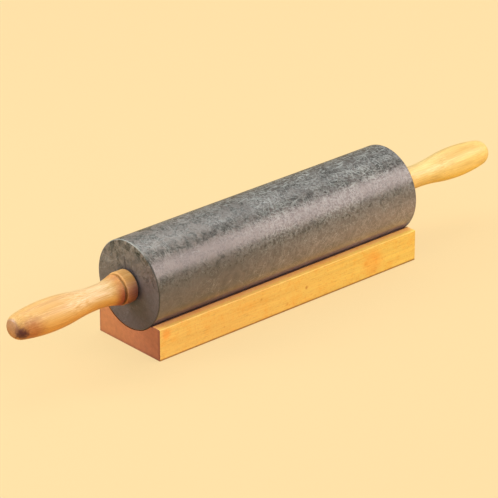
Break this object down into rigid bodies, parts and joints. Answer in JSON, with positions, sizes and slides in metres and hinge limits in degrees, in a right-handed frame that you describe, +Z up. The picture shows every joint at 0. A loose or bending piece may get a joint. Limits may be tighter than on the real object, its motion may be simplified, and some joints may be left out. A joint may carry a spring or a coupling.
{
  "type": "marble rolling pin",
  "caption": "Stone rolling pin with turned wooden handles, lying in a trough along the top of a wooden block; the barrel turns on a steel rod and the pin lifts out.",
  "frame": {"origin": "on the table under the middle of the pin, at the centre of the cradle's underside", "axes": "+X along the pin, +Y across it, +Z up"},
  "size_m": [0.4498, 0.066, 0.0803],
  "materials": {
    "marble": "polished grey-green marble with pale veins",
    "handle_wood": "pale turned beech, satin lacquer",
    "cradle_wood": "honey-coloured wood, satin",
    "steel": "drawn steel rod",
    "zinc": "stamped steel washer",
    "brass": "plain brass",
    "nylon": "natural nylon"
  },
  "bodies": {
    "cradle_block": {"cradle": "cradle_wood"},
    "handle_assembly": {"axle_rod": "steel", "left_washer": "zinc", "right_washer": "zinc", "left_insert": "brass", "right_insert": "brass", "left_handle": "handle_wood", "right_handle": "handle_wood"},
    "barrel_assembly": {"barrel": "marble", "left_bushing": "nylon", "right_bushing": "nylon"}
  },
  "joints": [
    {"name": "pin_lift", "type": "slide", "parent": "cradle_block", "child": "handle_assembly", "axis": [0, 0, 1], "range_m": [0, 0.1]},
    {"name": "barrel_spin", "type": "hinge", "parent": "handle_assembly", "child": "barrel_assembly", "pos_m": [0, 0, 0.0473], "axis": [1, 0, 0], "continuous": true}
  ]
}
